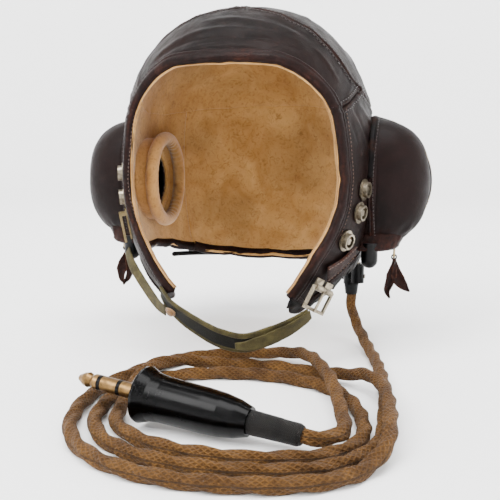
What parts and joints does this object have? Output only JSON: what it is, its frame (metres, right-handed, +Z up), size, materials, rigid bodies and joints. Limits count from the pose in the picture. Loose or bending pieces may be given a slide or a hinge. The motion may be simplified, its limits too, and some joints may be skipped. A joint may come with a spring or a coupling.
{
  "type": "leather flying helmet with earphones",
  "caption": "Brown leather flying helmet with zipped earphone pods, chamois lining, chin strap, press studs and a braided cord ending in a bell-shaped plug.",
  "frame": {"origin": "middle of the wearer's head on the line through both ears, where the head mount is", "axes": "+Z up, the face opening looks towards -Y, +X is the wearer's left; the table that the cord lies on is at z = -0.120"},
  "size_m": [0.2612, 0.356, 0.2429],
  "materials": {
    "brown_leather": "grained, waxed, worn at the edges",
    "pull_leather": "raw edged",
    "chamois": "napped suede",
    "zip_brass": "aged",
    "nickel": "nickel plate, tarnished",
    "magnet_steel": "plain",
    "hook_brass": "dull",
    "bakelite": "polished",
    "black_rubber": "satin",
    "olive_webbing": "cotton webbing",
    "tan_cord": "twisted cord",
    "braided_cord": "braided cotton",
    "contact_brass": "worn bright",
    "ferrule_binding": "waxed thread whipping"
  },
  "bodies": {
    "helmet": {"brow_panel": "brown_leather", "crown_panel_left": "brown_leather", "crown_panel_right": "brown_leather", "ear_panel_left": "brown_leather", "ear_panel_right": "brown_leather", "neck_panel": "brown_leather", "face_hem": "brown_leather", "lining_crown": "chamois", "lining_left": "chamois", "lining_right": "chamois", "lining_neck": "chamois", "pod_front_left": "brown_leather", "pod_rear_left": "brown_leather", "pod_front_right": "brown_leather", "pod_rear_right": "brown_leather", "zip_teeth_front": "zip_brass", "zip_teeth_rear": "zip_brass", "receiver_cases": "bakelite", "receiver_caps": "bakelite", "diaphragms": "nickel", "voice_magnets": "magnet_steel", "ear_cushions": "chamois", "rubber_stubs": "black_rubber", "stud_flanges": "nickel", "stud_rings": "nickel", "mask_hook": "hook_brass", "chin_strap": "olive_webbing", "chin_elastic": "olive_webbing", "chin_button": "tan_cord", "buckle_strap": "brown_leather", "buckle_hanger": "nickel", "goggle_tab": "brown_leather", "goggle_tab_stud": "nickel", "junction_box": "bakelite", "junction_screws": "nickel", "receiver_lead_left": "black_rubber", "receiver_lead_right": "black_rubber", "cord_gland": "black_rubber", "cord": "braided_cord", "plug_shell": "bakelite", "plug_contacts": "contact_brass", "plug_insulators": "bakelite", "plug_ferrule": "ferrule_binding"},
    "zip_slider_left_body": {"zip_slider_left": "zip_brass"},
    "zip_slider_right_body": {"zip_slider_right": "zip_brass"},
    "zip_ring_left_body": {"zip_ring_left": "zip_brass"},
    "zip_ring_right_body": {"zip_ring_right": "zip_brass"},
    "zip_tab_left_body": {"zip_tab_left": "pull_leather"},
    "zip_tab_right_body": {"zip_tab_right": "pull_leather"},
    "buckle_frame_body": {"buckle_frame": "nickel"},
    "buckle_prong_body": {"buckle_prong": "nickel"}
  },
  "joints": [
    {"name": "zip_slide_left", "type": "hinge", "parent": "helmet", "child": "zip_slider_left_body", "pos_m": [0.083, 0.012, 0.001], "axis": [0, -1, 0], "range_deg": [0, 130]},
    {"name": "zip_ring_swing_left", "type": "hinge", "parent": "zip_slider_left_body", "child": "zip_ring_left_body", "pos_m": [0.10544, 0.012, -0.04502], "axis": [0, -1, 0], "range_deg": [-30, 35]},
    {"name": "zip_tab_swing_left", "type": "hinge", "parent": "zip_ring_left_body", "child": "zip_tab_left_body", "pos_m": [0.10544, 0.012, -0.05422], "axis": [0, -1, 0], "range_deg": [-12, 20]},
    {"name": "zip_slide_right", "type": "hinge", "parent": "helmet", "child": "zip_slider_right_body", "pos_m": [-0.083, 0.012, 0.001], "axis": [0, 1, 0], "range_deg": [0, 130]},
    {"name": "zip_ring_swing_right", "type": "hinge", "parent": "zip_slider_right_body", "child": "zip_ring_right_body", "pos_m": [-0.10544, 0.012, -0.04502], "axis": [0, 1, 0], "range_deg": [-30, 35]},
    {"name": "zip_tab_swing_right", "type": "hinge", "parent": "zip_ring_right_body", "child": "zip_tab_right_body", "pos_m": [-0.10544, 0.012, -0.05422], "axis": [0, 1, 0], "range_deg": [-12, 20]},
    {"name": "buckle_frame_hinge", "type": "hinge", "parent": "helmet", "child": "buckle_frame_body", "pos_m": [0.0625, -0.06, -0.0665], "axis": [-0.4949, -0.7596, 0.422], "range_deg": [-3, 15]},
    {"name": "buckle_prong_hinge", "type": "hinge", "parent": "buckle_frame_body", "child": "buckle_prong_body", "pos_m": [0.0625, -0.06, -0.0665], "axis": [-0.4949, -0.7596, 0.422], "range_deg": [0, 80]}
  ]
}
